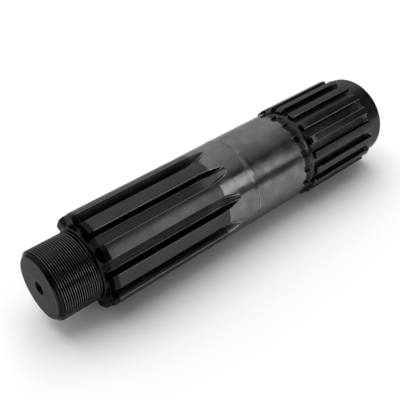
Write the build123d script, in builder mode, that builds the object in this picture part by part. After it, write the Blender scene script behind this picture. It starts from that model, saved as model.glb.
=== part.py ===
"""Heavy drive-line splined shaft, turned from one bar and hobbed at both ends.

From the threaded end: thread with its relief, a short pilot, a ten-tooth spline with
parallel-sided teeth, a plain ground length, a journal, a relief neck, an eighteen-tooth
spline and a rounded end collar. The grooves end where the hob lifted out of the bar, so
they taper to a rounded point. The shaft lies along +X, threaded end towards -X, with the
origin on its axis at mid-length. It is turned as it rests on its teeth, so that a gap of
the rear spline is straight down. Sizes in mm.
"""

import os
from math import asin, cos, radians, sin, sqrt, tan

from build123d import *

# Lengths along the shaft, in order from the threaded end
THREAD_LENGTH = 37.3
RELIEF_LENGTH = 3.2
PILOT_LENGTH = 4.3
FRONT_SPLINE_LENGTH = 115.2  # teeth at full depth, up to the hob's last position
PLAIN_LENGTH = 43.5          # from there to the ridge
RIDGE_LENGTH = 8.0
JOURNAL_LENGTH = 66.3
NECK_LENGTH = 7.8
REAR_SPLINE_LENGTH = 83.0
COLLAR_LENGTH = 24.4

# Turned diameters
THREAD_DIA = 64.0            # M64 x 2
RELIEF_DIA = 61.0
PILOT_DIA = 68.2
FRONT_SPLINE_DIA = 87.7
RIDGE_DIA = 89.0
JOURNAL_DIA = 88.2
NECK_DIA = 78.6
REAR_SPLINE_DIA = 94.0
COLLAR_DIA = 83.6

# Turned edges
THREAD_CHAMFER = 4.0
LEAD_IN_DEPTH = 1.0          # fall in radius along the front spline's lead-in
LEAD_IN_LENGTH = 4.3
EDGE_CHAMFER = 0.6
NECK_CHAMFER = 1.4
REAR_TIP_CHAMFER = 1.4
COLLAR_ROUND = 6.5

# Front spline: tooth middles are counted from the +Y side, turning towards +Z
FRONT_TEETH = 10
FRONT_TOOTH_WIDTH = 13.2
FRONT_ROOT_DIA = 69.6
FRONT_ROOT_FILLET = 1.0
FRONT_HOB_RADIUS = 43.0
FRONT_FIRST_TOOTH = 29.9     # degrees

# Rear spline
REAR_TEETH = 18
REAR_TOOTH_WIDTH = 7.1
REAR_ROOT_DIA = 82.0
REAR_ROOT_FILLET = 0.6
REAR_HOB_RADIUS = 45.0
REAR_HOB_START = 2.6         # ahead of the teeth, which nicks the journal's end
REAR_HOB_STOP = 6.0          # short of the teeth's far end
REAR_FIRST_TOOTH = 0.0       # degrees

# Centre holes
CENTRE_DIA = 8.0
CENTRE_DEPTH = 16.0
CENTRE_SINK_DIA = 11.8

CUTTER_CLEARANCE = 4.0       # how far a groove's cutter stands outside the teeth
HOB_THICKENING = 0.5         # growth of a tooth's half-width for each mm the hob has risen
RUN_OUT_SECTIONS = 5

# Stations from the threaded end's face
relief_x = THREAD_LENGTH
pilot_x = relief_x + RELIEF_LENGTH
front_x = pilot_x + PILOT_LENGTH
hob_out_x = front_x + FRONT_SPLINE_LENGTH
ridge_x = hob_out_x + PLAIN_LENGTH
journal_x = ridge_x + RIDGE_LENGTH
neck_x = journal_x + JOURNAL_LENGTH
rear_x = neck_x + NECK_LENGTH
collar_x = rear_x + REAR_SPLINE_LENGTH
end_x = collar_x + COLLAR_LENGTH


def groove_section(height, teeth, tooth_width, root_dia, tip_dia, root_fillet, rise, last_rise):
    """One groove's section at a height on Z, middle along +X, with the hob risen by rise."""
    half_pitch = 180 / teeth
    floor = root_dia / 2 + rise
    outside = tip_dia / 2 + CUTTER_CLEARANCE
    flank_offset = tooth_width / 2 + HOB_THICKENING * rise
    foot_angle = radians(half_pitch) - asin(flank_offset / floor)
    rim_angle = radians(half_pitch) - asin(flank_offset / outside)
    foot = (floor * cos(foot_angle), floor * sin(foot_angle))
    rim = (outside * cos(rim_angle), outside * sin(rim_angle))
    full_round = foot[1] / tan(radians(45 - half_pitch / 2))
    corner = root_fillet + (0.92 * full_round - root_fillet) * rise / last_rise
    with BuildSketch(Plane.XY.offset(height)) as section:
        with BuildLine():
            Line(rim, foot)
            ThreePointArc(foot, (floor, 0), (foot[0], -foot[1]))
            Line((foot[0], -foot[1]), (rim[0], -rim[1]))
            Line((rim[0], -rim[1]), rim)
        make_face()
        fillet(section.vertices().sort_by(Axis.X)[:2], corner)
    return section.sketch


def groove_cutter(teeth, tooth_width, root_dia, tip_dia, root_fillet, hob_radius, start, stop,
                  run_in):
    """One groove's cutter about Z, with the hob's run-out past stop and, if run_in, before start."""
    groove = (teeth, tooth_width, root_dia, tip_dia, root_fillet)
    last_rise = (tip_dia - root_dia) / 2 + 0.1 * CUTTER_CLEARANCE
    last_travel = sqrt(hob_radius ** 2 - (hob_radius - last_rise) ** 2)
    travels = [last_travel * i / RUN_OUT_SECTIONS for i in range(RUN_OUT_SECTIONS + 1)]
    rises = [hob_radius - sqrt(hob_radius ** 2 - travel ** 2) for travel in travels]
    with BuildPart() as cutter:
        extrude(groove_section(start, *groove, 0, last_rise), amount=stop - start)
        loft([groove_section(stop + travel, *groove, rise, last_rise)
              for travel, rise in zip(travels, rises)])
        if run_in:
            loft([groove_section(start - travel, *groove, rise, last_rise)
                  for travel, rise in zip(travels, rises)])
    return cutter.part


# The turned blank, about Z, with a centre hole in each end
with BuildPart() as blank:
    with BuildSketch(Plane.XZ):
        with BuildLine():
            Polyline(
                (0, 0),
                (THREAD_DIA / 2 - THREAD_CHAMFER, 0),
                (THREAD_DIA / 2, THREAD_CHAMFER),
                (THREAD_DIA / 2, relief_x),
                (RELIEF_DIA / 2, relief_x + (THREAD_DIA - RELIEF_DIA) / 2),
                (RELIEF_DIA / 2, pilot_x),
                (PILOT_DIA / 2 - EDGE_CHAMFER, pilot_x),
                (PILOT_DIA / 2, pilot_x + EDGE_CHAMFER),
                (PILOT_DIA / 2, front_x),
                (FRONT_SPLINE_DIA / 2 - LEAD_IN_DEPTH, front_x),
                (FRONT_SPLINE_DIA / 2, front_x + LEAD_IN_LENGTH),
                (FRONT_SPLINE_DIA / 2, ridge_x),
                (RIDGE_DIA / 2, ridge_x + RIDGE_LENGTH / 2),
                (JOURNAL_DIA / 2, journal_x),
                (JOURNAL_DIA / 2, neck_x - EDGE_CHAMFER),
                (JOURNAL_DIA / 2 - EDGE_CHAMFER, neck_x),
                (NECK_DIA / 2, neck_x),
                (NECK_DIA / 2, rear_x - NECK_CHAMFER),
                (REAR_ROOT_DIA / 2, rear_x + (REAR_ROOT_DIA - NECK_DIA) / 2 - NECK_CHAMFER),
                (REAR_ROOT_DIA / 2, rear_x),
                (REAR_SPLINE_DIA / 2 - REAR_TIP_CHAMFER, rear_x),
                (REAR_SPLINE_DIA / 2, rear_x + REAR_TIP_CHAMFER),
                (REAR_SPLINE_DIA / 2, collar_x - EDGE_CHAMFER),
                (REAR_SPLINE_DIA / 2 - EDGE_CHAMFER, collar_x),
                (COLLAR_DIA / 2, collar_x),
                (COLLAR_DIA / 2, end_x),
                (0, end_x),
                close=True,
            )
        make_face()
    revolve(axis=Axis.Z)
    fillet(blank.edges().sort_by(Axis.Z)[-1], COLLAR_ROUND)
    for end in (blank.faces().sort_by(Axis.Z)[0], blank.faces().sort_by(Axis.Z)[-1]):
        with Locations(Plane(end)):
            CounterSinkHole(CENTRE_DIA / 2, CENTRE_SINK_DIA / 2, depth=CENTRE_DEPTH,
                            counter_sink_angle=60)

front_cutter = groove_cutter(
    FRONT_TEETH, FRONT_TOOTH_WIDTH, FRONT_ROOT_DIA, FRONT_SPLINE_DIA, FRONT_ROOT_FILLET,
    FRONT_HOB_RADIUS, front_x - PILOT_LENGTH / 2, hob_out_x, False)
rear_cutter = groove_cutter(
    REAR_TEETH, REAR_TOOTH_WIDTH, REAR_ROOT_DIA, REAR_SPLINE_DIA, REAR_ROOT_FILLET,
    REAR_HOB_RADIUS, rear_x - REAR_HOB_START, collar_x - REAR_HOB_STOP, True)

# The shaft laid along X, with both splines cut
with BuildPart(Plane.YZ.offset(-end_x / 2)) as splined_shaft:
    add(blank.part)
    with PolarLocations(0, FRONT_TEETH, FRONT_FIRST_TOOTH + 180 / FRONT_TEETH):
        add(front_cutter, mode=Mode.SUBTRACT)
    with PolarLocations(0, REAR_TEETH, REAR_FIRST_TOOTH + 180 / REAR_TEETH):
        add(rear_cutter, mode=Mode.SUBTRACT)

splined_shaft.part.label = "splined_shaft"
os.makedirs("parts", exist_ok=True)
export_step(splined_shaft.part, "parts/splined_shaft.step")
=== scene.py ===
"""A black-oxide splined shaft with a bare ground middle, lying on a pale floor.

The shaft's skins are built from rings of points round its axis. Sizes are in mm and stations
are counted from the threaded end; skin() turns them into the frame's metres. A ring also
carries three marks for the material: worn (bright edges, edge wear with a painted highlight),
deep (down in a groove, where the material paints shade) and dull (darker oxide, painted shade
on the lead-in faces and the nicked journal end).
"""
import math

import bpy
import numpy as np
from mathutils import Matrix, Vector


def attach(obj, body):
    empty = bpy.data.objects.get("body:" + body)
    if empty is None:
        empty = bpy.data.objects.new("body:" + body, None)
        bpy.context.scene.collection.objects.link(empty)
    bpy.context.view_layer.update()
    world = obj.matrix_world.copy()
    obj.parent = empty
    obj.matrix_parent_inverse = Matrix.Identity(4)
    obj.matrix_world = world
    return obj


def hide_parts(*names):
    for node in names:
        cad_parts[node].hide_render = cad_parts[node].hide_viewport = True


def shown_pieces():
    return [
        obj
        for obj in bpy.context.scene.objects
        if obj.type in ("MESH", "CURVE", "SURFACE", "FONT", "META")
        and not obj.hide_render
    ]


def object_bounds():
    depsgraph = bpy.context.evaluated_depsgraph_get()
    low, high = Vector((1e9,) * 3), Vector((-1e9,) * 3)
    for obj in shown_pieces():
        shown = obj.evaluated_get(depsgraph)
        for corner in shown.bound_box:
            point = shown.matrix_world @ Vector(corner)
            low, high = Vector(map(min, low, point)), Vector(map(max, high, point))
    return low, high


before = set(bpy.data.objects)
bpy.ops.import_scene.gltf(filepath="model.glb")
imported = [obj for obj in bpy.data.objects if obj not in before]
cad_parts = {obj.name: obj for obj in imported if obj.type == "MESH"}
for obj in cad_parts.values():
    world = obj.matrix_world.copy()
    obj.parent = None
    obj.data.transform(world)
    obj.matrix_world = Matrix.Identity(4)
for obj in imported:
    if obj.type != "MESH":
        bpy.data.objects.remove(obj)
cad_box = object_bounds()

MM = 0.001

# Stations along the shaft
THREAD_END = 37.3
PILOT = 40.5
FRONT = 44.8
HOB_OUT = 160.0       # the front hob's last full-depth position
RIDGE = 203.5
JOURNAL = 211.5
NECK = 277.8
REAR = 285.6
COLLAR = 368.6
END = 393.0
HOB_IN = REAR - 2.6   # the rear hob's first and last full-depth positions
HOB_STOP = COLLAR - 6.0

# Turned radii and edges
R_THREAD = 32.0
R_RELIEF = 30.5
R_PILOT = 34.1
R_FRONT = 43.85
R_RIDGE = 44.5
R_JOURNAL = 44.1
R_NECK = 39.3
R_REAR = 46.98
R_COLLAR = 41.8
THREAD_CHAMFER = 4.0
COLLAR_ROUND = 6.5

# Centre holes, as steps of depth and radius
R_CENTRE = 4.0
R_SINK = 5.9
HOLE_CHAMFER = 0.25
SINK_DEPTH = 3.3
CENTRE_DEPTH = 16.0
SINK_STEPS = [(0.0, R_SINK + HOLE_CHAMFER), (HOLE_CHAMFER, R_SINK), (SINK_DEPTH, R_CENTRE)]
BORE_STEPS = [(CENTRE_DEPTH, R_CENTRE), (CENTRE_DEPTH + 1.5, 0.3)]

# Splines; first is the first tooth's angle in degrees from +Y towards +Z
FRONT_SPLINE = dict(teeth=10, half=6.6, root=34.8, fillet=1.0, hob=43.0, first=29.9, depth=9.05)
REAR_SPLINE = dict(teeth=18, half=3.55, root=41.0, fillet=0.6, hob=45.0, first=0.0, depth=6.0)
HOB_THICKENING = 0.5     # growth of a tooth's half-width for each mm that the hob has risen
FULL_ROUND_SHARE = 0.92  # how nearly round a groove's floor is where it runs out
ROUNDING_SPARE = 0.4     # rise past the depth at which the floor gets there
NO_GROOVE = 1.0          # rise past the depth that leaves no groove at all
LEAST_GROOVE = 0.004     # half-angle kept between two teeth where there is no groove
EDGE_WIDTH = 0.35        # bevel along a tooth's edges
CROWN_POINTS = 5         # over half a crown, and over half a groove
GROOVE_POINTS = 17
FRONT_RUN_OUT_RINGS = 26

# Thread, right-hand
PITCH = 2.0
THREAD_DEPTH = 1.15
CREST_FLAT = 0.14        # share of the pitch's half left as crest
ROOT_SHARE = 0.9         # share of the depth at which the groove's root is flat
THREAD_START = 5.14
THREAD_TURN = 62.1
THREAD_STEP = 0.125
THREAD_POINTS = 160      # points round every ring of the threaded end


def hob_rise(spline, travel):
    """How far the hob has lifted at a travel past its full-depth position."""
    hob = spline["hob"]
    travel = min(max(travel, 0.0), hob - 0.01)
    return hob - math.sqrt(hob * hob - travel * travel)


def hob_travel(spline, radius):
    """The travel at which the hob's lowest point reaches a radius."""
    hob = spline["hob"]
    return math.sqrt(hob ** 2 - (hob - (radius - spline["root"])) ** 2)


def groove_curve(spline, tip, rise, inset):
    """Angles and radii down a tooth's flank, round the root and on to the groove's middle."""
    half_pitch = math.pi / spline["teeth"]
    floor = spline["root"] + rise - inset
    half = spline["half"] + HOB_THICKENING * rise - inset
    slope = math.tan(math.pi / 4 - half_pitch / 2)
    full_round = floor * math.sin(half_pitch - math.asin(half / floor)) / slope
    share = min(rise / (spline["depth"] + ROUNDING_SPARE), 1.0)
    fillet = spline["fillet"] + (FULL_ROUND_SHARE * full_round - spline["fillet"]) * share
    tangent = fillet * slope
    foot = np.array([math.sqrt(floor ** 2 - half ** 2), half])
    top = math.sqrt((tip + 4.0) ** 2 - half ** 2)
    flank_x = np.linspace(top, foot[0] + tangent, 60)
    flank = np.stack([flank_x, np.full_like(flank_x, half)], 1)
    turn = math.atan2(half, foot[0]) + tangent / floor
    start = foot + [tangent, 0]
    stop = floor * np.array([math.cos(turn), math.sin(turn)])
    t = np.linspace(0, 1, 40)[1:, None]
    corner = (1 - t) ** 2 * start + 2 * t * (1 - t) * foot + t ** 2 * stop
    sweep = np.linspace(turn, half_pitch, 30)[1:]
    bottom = floor * np.stack([np.cos(sweep), np.sin(sweep)], 1)
    x, y = np.concatenate([flank, corner, bottom]).T
    return np.minimum(np.arctan2(y, x), half_pitch), np.hypot(x, y)


def half_pitch_points(spline, tip, rise, inset):
    """Angle, radius, bright-edge mark (edge wear with a painted highlight) and deep at points from a
    tooth's middle to the next groove's.
    """
    half_pitch = math.pi / spline["teeth"]
    angle, radius = groove_curve(spline, tip, rise, inset)
    below = np.nonzero(radius < tip - 1e-6)[0]
    if len(below) == 0:
        crossing = half_pitch - LEAST_GROOVE
        angle = np.array([crossing, half_pitch])
        radius = np.array([tip, tip])
    else:
        i = below[0]
        k = (radius[i - 1] - tip) / (radius[i - 1] - radius[i])
        crossing = angle[i - 1] + k * (angle[i] - angle[i - 1])
        angle = np.concatenate([[crossing], angle[i:]])
        radius = np.concatenate([[tip], radius[i:]])
    steps = np.hypot(np.diff(angle) * tip, np.diff(radius))
    length = np.concatenate([[0], np.cumsum(steps)])
    edge = min(EDGE_WIDTH, 0.3 * length[-1])
    past_edge = 1.35 * edge
    down = np.linspace(past_edge, length[-1], GROOVE_POINTS - 1)
    wanted = np.concatenate([[edge], down])
    groove_r = np.interp(wanted, length, radius)
    crown_end = crossing - edge / tip
    crown = np.linspace(0, crown_end - 0.4 * edge / tip, CROWN_POINTS - 1)
    deep = np.clip((tip - groove_r) / spline["depth"], 0, 1)
    return (np.concatenate([crown, [crown_end], np.interp(wanted, length, angle)]),
            np.concatenate([np.full(CROWN_POINTS, tip), groove_r]),
            np.concatenate([np.zeros(CROWN_POINTS - 1), [1, 1], np.zeros(GROOVE_POINTS - 1)]),
            np.concatenate([np.zeros(CROWN_POINTS), deep]))


def ring(spline, x, tip, rise=0.0, inset=0.0, flat=None):
    """A full ring of points at x; flat gives a plain circle with the same angles."""
    a, r, worn, deep = half_pitch_points(spline, tip, rise, inset)
    if flat is not None:
        r = np.full_like(r, flat)
        worn = deep = np.zeros_like(r)
    teeth = spline["teeth"]
    pitch = 2 * math.pi / teeth
    a = np.concatenate([a, pitch - a[-2:0:-1]])
    r, worn, deep = (np.tile(np.concatenate([v, v[-2:0:-1]]), teeth) for v in (r, worn, deep))
    starts = np.arange(teeth) * pitch
    angle = (starts[:, None] + a[None, :] + math.radians(spline["first"])).ravel()
    return dict(x=np.full(len(angle), x), r=r, angle=angle, worn=worn, deep=deep)


def plain_ring(spline, x, r, **marks):
    """A circle with the angles that a ring has where the grooves have run out."""
    loop = ring(spline, x, r, spline["depth"] + NO_GROOVE, flat=r)
    loop.update(marks)
    return loop


def circle(x, r, **marks):
    """A ring of the threaded end."""
    angle = np.arange(THREAD_POINTS) * 2 * math.pi / THREAD_POINTS
    return dict(x=np.full(THREAD_POINTS, x), r=np.full(THREAD_POINTS, r), angle=angle, **marks)


def skin(name, rings, sharp=32):
    """A mesh piece through rings of equal count, riding on the shaft."""
    count = len(rings[0]["angle"])
    points = []
    for loop in rings:
        points.append(np.stack([loop["x"] - END / 2, loop["r"] * np.cos(loop["angle"]),
                                loop["r"] * np.sin(loop["angle"])], 1))
    verts = np.concatenate(points) * MM
    rows = np.arange(len(rings) - 1)[:, None] * count
    i = np.arange(count)[None, :]
    j = (i + 1) % count
    faces = np.stack([rows + i, rows + j, rows + count + j, rows + count + i], -1)
    faces = faces.reshape(-1, 4)[:, ::-1]
    mesh = bpy.data.meshes.new(name)
    mesh.from_pydata(verts.tolist(), [], faces.tolist())
    mesh.update()
    for key in ("worn", "deep", "painted_shade"):
        data = np.concatenate([np.broadcast_to(loop.get(key, 0.0), count) for loop in rings])
        layer = mesh.attributes.new(key, "FLOAT", "POINT")
        layer.data.foreach_set("value", data.astype(np.float32))
    mesh.polygons.foreach_set("use_smooth", [True] * len(mesh.polygons))
    mesh.set_sharp_from_angle(angle=math.radians(sharp))
    mesh.validate()
    piece = bpy.data.objects.new(name, mesh)
    bpy.context.scene.collection.objects.link(piece)
    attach(piece, "root")
    return piece


def thread_rings():
    """Rings of the vee thread cut into the chamfered bar, fading out at its end."""
    turns = (np.arange(THREAD_POINTS) * 360.0 / THREAD_POINTS - THREAD_TURN) / 360.0
    rings = []
    for x in np.arange(0.0, THREAD_END + 1e-6, THREAD_STEP):
        phase = (x - THREAD_START) / PITCH - turns
        from_groove = np.abs(phase - np.round(phase)) * 2
        depth = THREAD_DEPTH * np.clip(1.0 - from_groove / (1 - CREST_FLAT), 0, ROOT_SHARE)
        fade = np.clip((THREAD_END + 0.4 - x) / 1.0, 0, 1)
        bar = min(R_THREAD, R_THREAD - THREAD_CHAMFER + x)
        crest = (depth < 0.1) & (bar == R_THREAD)
        # Crests get the bright-edge mark, a painted highlight; deep marks the groove, which the
        # material paints darker as shade.
        loop = circle(x, R_THREAD, worn=crest.astype(float), deep=depth / THREAD_DEPTH)
        loop["r"] = np.minimum(R_THREAD - depth * fade, bar)
        rings.append(loop)
    return rings


def threaded_end():
    """Centre hole, face, chamfer and thread, then the relief and the pilot."""
    sink, *hole = SINK_STEPS + [(SINK_DEPTH + 0.1, R_CENTRE)] + BORE_STEPS
    # The centre hole is marked deep, so the material paints it dark as shade.
    rings = [circle(x, r, deep=1.0) for x, r in hole[::-1]]
    rings += [circle(x, r) for x, r in (sink, (0.0, 16.0), (0.0, 27.6))]
    rings += thread_rings()
    rings += [circle(x, r) for x, r in (
        (THREAD_END + 1.2, R_RELIEF), (PILOT - 0.5, R_RELIEF), (PILOT - 0.1, R_RELIEF + 0.3),
        (PILOT, R_RELIEF + 1.0), (PILOT, R_PILOT - 0.8), (PILOT + 0.8, R_PILOT),
        (FRONT + 0.5, R_PILOT))]
    return skin("threaded_end", rings, sharp=40)


def front_spline():
    """Front spline with its lead-in and run-outs, and the plain length up to the ridge."""
    tooth = FRONT_SPLINE
    lead_in = [ring(tooth, FRONT, R_FRONT - 1.3, inset=0.3, flat=R_PILOT - 0.2),
               ring(tooth, FRONT, R_FRONT - 1.3, inset=0.3),
               ring(tooth, FRONT + 0.3, R_FRONT - 0.95),
               ring(tooth, FRONT + 4.0, R_FRONT - 0.06)]
    # The lead-in's faces and chamfers are marked for painted shade, so they are painted darker.
    for loop in lead_in:
        loop["painted_shade"] = 1.0
    rings = lead_in + [ring(tooth, FRONT + 4.6, R_FRONT)]
    rings += [ring(tooth, x, R_FRONT) for x in np.linspace(FRONT + 10, HOB_OUT, 12)]
    run_out = hob_travel(tooth, tooth["root"] + tooth["depth"])
    for share in np.linspace(0, 1, FRONT_RUN_OUT_RINGS + 1)[1:]:
        travel = run_out * (1 - (1 - share) ** 1.5)
        rings.append(ring(tooth, HOB_OUT + travel, R_FRONT, hob_rise(tooth, travel)))
    rings += [plain_ring(tooth, x, R_FRONT) for x in (HOB_OUT + run_out + 1, RIDGE)]
    return skin("front_spline", rings)


def ridge_and_journal():
    """Rings over the ridge, with the fine line round it, and along the journal."""
    tool_mark = R_RIDGE - 0.60
    profile = [plain_ring(REAR_SPLINE, x, r) for x, r in (
        (RIDGE, R_FRONT), (RIDGE + 0.8, R_FRONT + 0.03), (RIDGE + 3.2, R_RIDGE - 0.27),
        (RIDGE + 3.25, R_RIDGE - 0.32))]
    # The tool mark is marked deep, so it is painted darker as shade.
    profile += [plain_ring(REAR_SPLINE, x, tool_mark, deep=1.0) for x in (RIDGE + 3.35, RIDGE + 3.6)]
    # The fine line's lip gets the bright-edge mark, a painted highlight.
    profile += [plain_ring(REAR_SPLINE, x, r, worn=0.9) for x, r in (
        (RIDGE + 3.7, R_RIDGE - 0.30), (RIDGE + 3.8, R_RIDGE - 0.25))]
    profile += [plain_ring(REAR_SPLINE, x, r) for x, r in (
        (RIDGE + 4.6, R_RIDGE - 0.27), (JOURNAL, R_JOURNAL + 0.02), (JOURNAL + 0.8, R_JOURNAL))]
    return profile


def rear_spline():
    """Ridge and journal, nicked by the rear hob, then neck, rear spline and collar."""
    tooth = REAR_SPLINE
    rings = ridge_and_journal()
    nick = HOB_IN - hob_travel(tooth, R_JOURNAL)
    rings.append(plain_ring(tooth, nick - 0.5, R_JOURNAL))
    rings += [ring(tooth, x, R_JOURNAL, hob_rise(tooth, HOB_IN - x))
              for x in np.linspace(nick + 0.05, NECK - 0.5, 14)]
    rings.append(ring(tooth, NECK, R_JOURNAL - 0.5, hob_rise(tooth, HOB_IN - NECK), inset=0.1))
    # The nicked journal end is marked for painted shade, rising over 2 mm from station 268.5.
    for loop in rings:
        loop["painted_shade"] = np.clip((loop["x"] - 268.5) / 2.0, 0, 0.65)
    rings += [ring(tooth, x, R_REAR, flat=r) for x, r in (
        (NECK, R_NECK + 0.5), (NECK + 0.5, R_NECK), (REAR - 1.8, R_NECK), (REAR - 1.4, R_NECK + 0.2),
        (REAR - 0.1, tooth["root"] - 0.25), (REAR, tooth["root"] - 0.15))]
    rings += [ring(tooth, REAR + 0.01, R_REAR - 1.6, inset=0.2), ring(tooth, REAR + 0.3, R_REAR - 1.1),
              ring(tooth, REAR + 1.3, R_REAR - 0.1), ring(tooth, REAR + 1.7, R_REAR)]
    rings += [ring(tooth, x, R_REAR) for x in np.linspace(REAR + 8, HOB_STOP, 8)]
    for x, tip in ((HOB_STOP + 3, R_REAR), (COLLAR - 0.8, R_REAR), (COLLAR - 0.2, R_REAR - 0.5),
                   (COLLAR, R_REAR - 0.9)):
        rings.append(ring(tooth, x, tip, hob_rise(tooth, x - HOB_STOP)))
    run_out = HOB_STOP + hob_travel(tooth, R_COLLAR)
    rings += [ring(tooth, x, R_COLLAR, hob_rise(tooth, x - HOB_STOP))
              for x in np.linspace(COLLAR + 0.02, run_out - 0.02, 5)]
    round_start = END - COLLAR_ROUND
    rings += [plain_ring(tooth, x, R_COLLAR) for x in (run_out + 0.4, round_start - 4, round_start)]
    return skin("rear_spline", rings + collar_end())


def collar_end():
    """Rings round the collar's rounded end, over its face and down the centre hole."""
    profile = []
    for turn in np.linspace(0, math.pi / 2, 10)[1:]:
        profile.append((END - COLLAR_ROUND * (1 - math.sin(turn)),
                        R_COLLAR - COLLAR_ROUND * (1 - math.cos(turn))))
    profile += [(END - depth, r) for depth, r in [(0.0, 20.0)] + SINK_STEPS + BORE_STEPS]
    return [ring(REAR_SPLINE, x, R_COLLAR, REAR_SPLINE["depth"] + NO_GROOVE, flat=r)
            for x, r in profile]


nose = threaded_end()
front_spline()
rear_spline()
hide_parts("splined_shaft")


# Materials: black oxide over both splines, bare ground steel between them, with painted shade in
# grooves, holes, lead-ins and the nicked journal end, painted highlights on edges and a painted sheen
# on the run-outs' floors
BARE_FROM, BARE_TO = 171.1, 270.1       # mean stations of the oxide's ragged edges
# Painted sheen: the run-outs' groove floors are painted lighter between these stations
SHEEN_FROM, SHEEN_TO = 150.0, 168.0     # where the run-outs' floors turn lighter
EDGE_WANDER = 1.2
# Painted shade on the lead-in faces and the nicked journal end
SHADED_OXIDE = (0.016, 0.016, 0.016)
# Painted sheen on the run-outs' floors
SHEEN_OXIDE = (0.085, 0.083, 0.080)
GROUND_LIGHT = (0.185, 0.182, 0.174)
GROUND_DARK = (0.125, 0.122, 0.112)
GROUND_SMUDGE = (0.250, 0.247, 0.238)
GROUND_LINES = (0.080, 0.079, 0.074)
# Painted shade down in the recesses of the ground length
GROUND_RECESS_SHADE = (0.085, 0.083, 0.078)
# Painted highlight: bright ground steel on marked edges and the ridge's fine line
GROUND_EDGE_GLINT = (0.50, 0.50, 0.49)


class Shader:
    """A node material with short ways to add and join its nodes."""

    def __init__(self, name):
        self.material = bpy.data.materials.new(name)
        self.material.use_nodes = True
        self.tree = self.material.node_tree
        self.bsdf = self.tree.nodes["Principled BSDF"]

    def node(self, kind, **values):
        new = self.tree.nodes.new(kind)
        for key, value in values.items():
            setattr(new, key, value)
        return new

    def feed(self, socket, value):
        """Set a socket to a number or a colour, or link an output to it."""
        if isinstance(value, (int, float)):
            socket.default_value = value
        elif isinstance(value, tuple):
            socket.default_value = value + (1.0,)
        else:
            self.tree.links.new(value, socket)

    def mark(self, name):
        return self.node("ShaderNodeAttribute", attribute_name=name).outputs["Fac"]

    def noise(self, vector, scale, detail, stretch=(1, 1, 1)):
        mapping = self.node("ShaderNodeMapping")
        mapping.inputs["Scale"].default_value = stretch
        self.feed(mapping.inputs["Vector"], vector)
        texture = self.node("ShaderNodeTexNoise")
        texture.inputs["Scale"].default_value = scale
        texture.inputs["Detail"].default_value = detail
        self.feed(texture.inputs["Vector"], mapping.outputs["Vector"])
        return texture.outputs["Fac"]

    def ramp(self, value, low, high, to_low=0.0, to_high=1.0):
        rise = self.node("ShaderNodeMapRange", interpolation_type="SMOOTHSTEP")
        ends = zip(("From Min", "From Max", "To Min", "To Max"), (low, high, to_low, to_high))
        for key, end in ends:
            rise.inputs[key].default_value = end
        self.feed(rise.inputs["Value"], value)
        return rise.outputs["Result"]

    def maths(self, operation, a, b):
        sums = self.node("ShaderNodeMath", operation=operation)
        self.feed(sums.inputs[0], a)
        self.feed(sums.inputs[1], b)
        return sums.outputs["Value"]

    def mix(self, factor, a, b):
        blend = self.node("ShaderNodeMix", data_type="RGBA")
        for index, value in ((0, factor), (6, a), (7, b)):
            self.feed(blend.inputs[index], value)
        return blend.outputs[2]

    def mix_values(self, factor, a, b):
        blend = self.node("ShaderNodeMix", data_type="FLOAT")
        for index, value in ((0, factor), (2, a), (3, b)):
            self.feed(blend.inputs[index], value)
        return blend.outputs[0]


def from_middle(station):
    """A station from the threaded end as metres from the shaft's middle."""
    return (station - END / 2) * MM


def bare_share(s, place, along):
    """1 on the bare ground length, 0 on the oxide, with ragged edges between."""
    wander = s.maths("MULTIPLY", s.noise(place, 260, 2), EDGE_WANDER * MM)
    edge = s.maths("ADD", along, wander)
    front, rear = from_middle(BARE_FROM), from_middle(BARE_TO)
    return s.maths("MULTIPLY", s.ramp(edge, front, front + 0.5 * MM),
                   s.ramp(edge, rear, rear + 1.5 * MM, 1.0, 0.0))


def oxide_colour(s, along, blotch, crown, groove, edge):
    deep = s.mark("deep")
    colour = s.mix(blotch, tuple(0.8 * v for v in crown), crown)
    # Painted shade: the groove colour darkens the oxide down in grooves and holes.
    colour = s.mix(s.ramp(deep, 0.05, 0.6), colour, groove)
    # Edge wear with a painted highlight: the bright edge colour on marked edges and crests.
    colour = s.mix(s.maths("MULTIPLY", s.mark("worn"), 0.75), colour, edge)
    # Painted shade: darker oxide on the lead-in faces and the nicked journal end.
    colour = s.mix(s.mark("painted_shade"), colour, SHADED_OXIDE)
    # Painted sheen: lighter oxide on the groove floors where the front run-outs end.
    painted_sheen = s.maths("MULTIPLY", s.ramp(deep, 0.3, 0.8),
                    s.ramp(along, from_middle(SHEEN_FROM), from_middle(SHEEN_TO)))
    return s.mix(painted_sheen, colour, SHEEN_OXIDE)


def ground_colour(s, blotch, smudge, turned):
    colour = s.mix(blotch, GROUND_LIGHT, GROUND_DARK)
    colour = s.mix(s.maths("MULTIPLY", smudge, 0.55), colour, GROUND_SMUDGE)
    colour = s.mix(s.maths("MULTIPLY", turned, 0.25), colour, GROUND_LINES)
    # Painted shade: darker ground steel down in recesses.
    colour = s.mix(s.ramp(s.mark("deep"), 0.15, 0.7), colour, GROUND_RECESS_SHADE)
    # Painted highlight: bright ground steel on the marked edges and the ridge's fine line, patchy with
    # the smudges.
    return s.mix(s.maths("MULTIPLY", s.mark("worn"), smudge), colour, GROUND_EDGE_GLINT)


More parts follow.
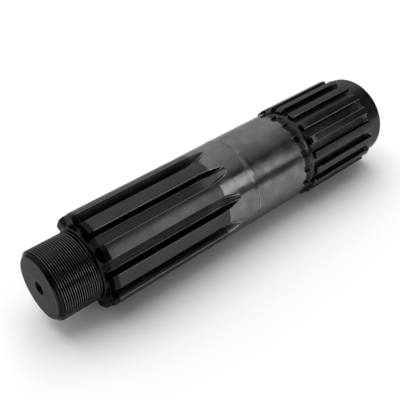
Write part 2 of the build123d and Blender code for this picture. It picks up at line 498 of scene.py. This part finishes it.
def steel_material(name, crown, groove, edge):
    """Oxide with the given colours, bare along the ground length."""
    s = Shader(name)
    place = s.node("ShaderNodeTexCoord").outputs["Object"]
    split = s.node("ShaderNodeSeparateXYZ")
    s.feed(split.inputs[0], place)
    along = split.outputs["X"]
    bare = bare_share(s, place, along)
    blotch = s.ramp(s.noise(place, 38, 5, (0.6, 1, 1)), 0.35, 0.7)
    smudge = s.ramp(s.noise(place, 95, 6, (0.8, 1, 1)), 0.42, 0.66)
    turned = s.noise(place, 900, 3, (3.0, 0.15, 0.15))
    speck = s.noise(place, 1500, 2)

    s.bsdf.inputs["Metallic"].default_value = 1.0
    s.bsdf.inputs["Specular Tint"].default_value = (0.6, 0.6, 0.6, 1)
    oxide = oxide_colour(s, along, blotch, crown, groove, edge)
    s.feed(s.bsdf.inputs["Base Color"], s.mix(bare, oxide, ground_colour(s, blotch, smudge, turned)))
    s.feed(s.bsdf.inputs["Roughness"],
           s.mix_values(bare, s.ramp(s.noise(place, 60, 5), 0.3, 0.7, 0.22, 0.31),
                        s.ramp(s.noise(place, 70, 5), 0.3, 0.7, 0.15, 0.25)))
    bump = s.node("ShaderNodeBump")
    bump.inputs["Strength"].default_value = 0.18
    bump.inputs["Distance"].default_value = 0.12 * MM
    s.feed(bump.inputs["Height"], s.maths("ADD", s.maths("MULTIPLY", turned, 0.6),
                                          s.maths("MULTIPLY", speck, 0.4)))
    s.feed(s.bsdf.inputs["Normal"], bump.outputs["Normal"])
    return s.material


# groove is the painted shade in grooves and holes; edge is the bright edges, edge wear with a painted
# highlight.
spline_steel = steel_material("oxide_and_ground_steel", crown=(0.064, 0.064, 0.064),
                              groove=(0.044, 0.043, 0.042), edge=(0.22, 0.22, 0.22))
thread_steel = steel_material("oxide_thread_steel", crown=(0.026, 0.026, 0.026),
                              groove=(0.006, 0.006, 0.006), edge=(0.20, 0.195, 0.185))
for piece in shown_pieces():
    piece.data.materials.clear()
    piece.data.materials.append(thread_steel if piece == nose else spline_steel)


# Floor
FLOOR_REACH = 6.0        # metres, as are the lights' sizes and distances
scene = bpy.context.scene
floor_z = cad_box[0][2]
floor_mesh = bpy.data.meshes.new("floor")
corners = [(-FLOOR_REACH, -FLOOR_REACH), (FLOOR_REACH, -FLOOR_REACH),
           (FLOOR_REACH, FLOOR_REACH), (-FLOOR_REACH, FLOOR_REACH)]
floor_mesh.from_pydata([(x, y, floor_z) for x, y in corners], [], [(0, 1, 2, 3)])
floor = bpy.data.objects.new("floor", floor_mesh)
scene.collection.objects.link(floor)
pale = Shader("pale_floor")
pale.bsdf.inputs["Base Color"].default_value = (0.92, 0.92, 0.92, 1)
pale.bsdf.inputs["Roughness"].default_value = 0.9
pale.bsdf.inputs["Specular IOR Level"].default_value = 0.0
floor_mesh.materials.append(pale.material)

# Sky: dim to the front with a bright top, bright all over behind the shaft
FRONT_SKY = [(-0.1, 0.3), (0.05, 0.22), (0.25, 0.05), (0.70, 0.06), (0.82, 0.62), (1.0, 0.85)]
BACK_SKY = [(-0.1, 1.0), (0.1, 1.0), (0.4, 1.0), (0.6, 0.95), (0.8, 0.8), (1.0, 0.8)]
world = bpy.data.worlds.new("studio")
world.use_nodes = True
sky = world.node_tree
way = sky.nodes.new("ShaderNodeSeparateXYZ")
sky.links.new(sky.nodes.new("ShaderNodeTexCoord").outputs["Generated"], way.inputs[0])


def sky_ramp(stops):
    """Brightness against height, from straight down (-1) over the horizon to straight up (1)."""
    rise = sky.nodes.new("ShaderNodeMapRange")
    rise.inputs["From Min"].default_value = -1.0
    sky.links.new(way.outputs["Z"], rise.inputs["Value"])
    ramp = sky.nodes.new("ShaderNodeValToRGB")
    sky.links.new(rise.outputs["Result"], ramp.inputs["Fac"])
    while len(ramp.color_ramp.elements) < len(stops):
        ramp.color_ramp.elements.new(1.0)
    for element, (height, value) in zip(ramp.color_ramp.elements, stops):
        element.position = 0.5 + height / 2
        element.color = (value, value, value, 1)
    return ramp.outputs["Color"]


side = sky.nodes.new("ShaderNodeMapRange")
side.interpolation_type = "SMOOTHSTEP"
side.inputs["From Min"].default_value = -0.1
side.inputs["From Max"].default_value = 0.4
sky.links.new(way.outputs["Y"], side.inputs["Value"])
both = sky.nodes.new("ShaderNodeMix")
both.data_type = "RGBA"
sky.links.new(side.outputs["Result"], both.inputs[0])
sky.links.new(sky_ramp(FRONT_SKY), both.inputs[6])
sky.links.new(sky_ramp(BACK_SKY), both.inputs[7])
sky.links.new(both.outputs[2], sky.nodes["Background"].inputs["Color"])
scene.world = world


def soft_light(name, azimuth, elevation, far, wide, high, brightness, mirrored=True):
    """A soft panel aimed at the shaft; azimuth is from +X towards +Y, in degrees."""
    a, e = math.radians(azimuth), math.radians(elevation)
    data = bpy.data.lights.new(name, "AREA")
    data.shape, data.size, data.size_y = "RECTANGLE", wide, high
    data.energy = brightness * math.pi * wide * high
    lamp = bpy.data.objects.new(name, data)
    lamp.location = (far * math.cos(e) * math.cos(a), far * math.cos(e) * math.sin(a),
                     far * math.sin(e))
    lamp.rotation_euler = lamp.location.to_track_quat("Z", "Y").to_euler()
    lamp.visible_glossy = mirrored
    scene.collection.objects.link(lamp)


soft_light("side_panel", -63, 29, 2.0, 1.05, 0.85, 2.2)
soft_light("overhead", 80, 80, 2.4, 2.6, 2.6, 2.0, mirrored=False)

# Camera at the photograph's angle
camera_data = bpy.data.cameras.new("camera")
camera_data.lens = 64.575
camera_data.sensor_width = 36.0
camera_data.clip_start = 0.01
camera = bpy.data.objects.new("camera", camera_data)
camera.location = (-0.36948, -0.40938, 0.39503)
camera.rotation_euler = [math.radians(a) for a in (53.4871, 2.0298, -41.7046)]
scene.collection.objects.link(camera)
scene.camera = camera
scene.view_settings.view_transform = "Standard"
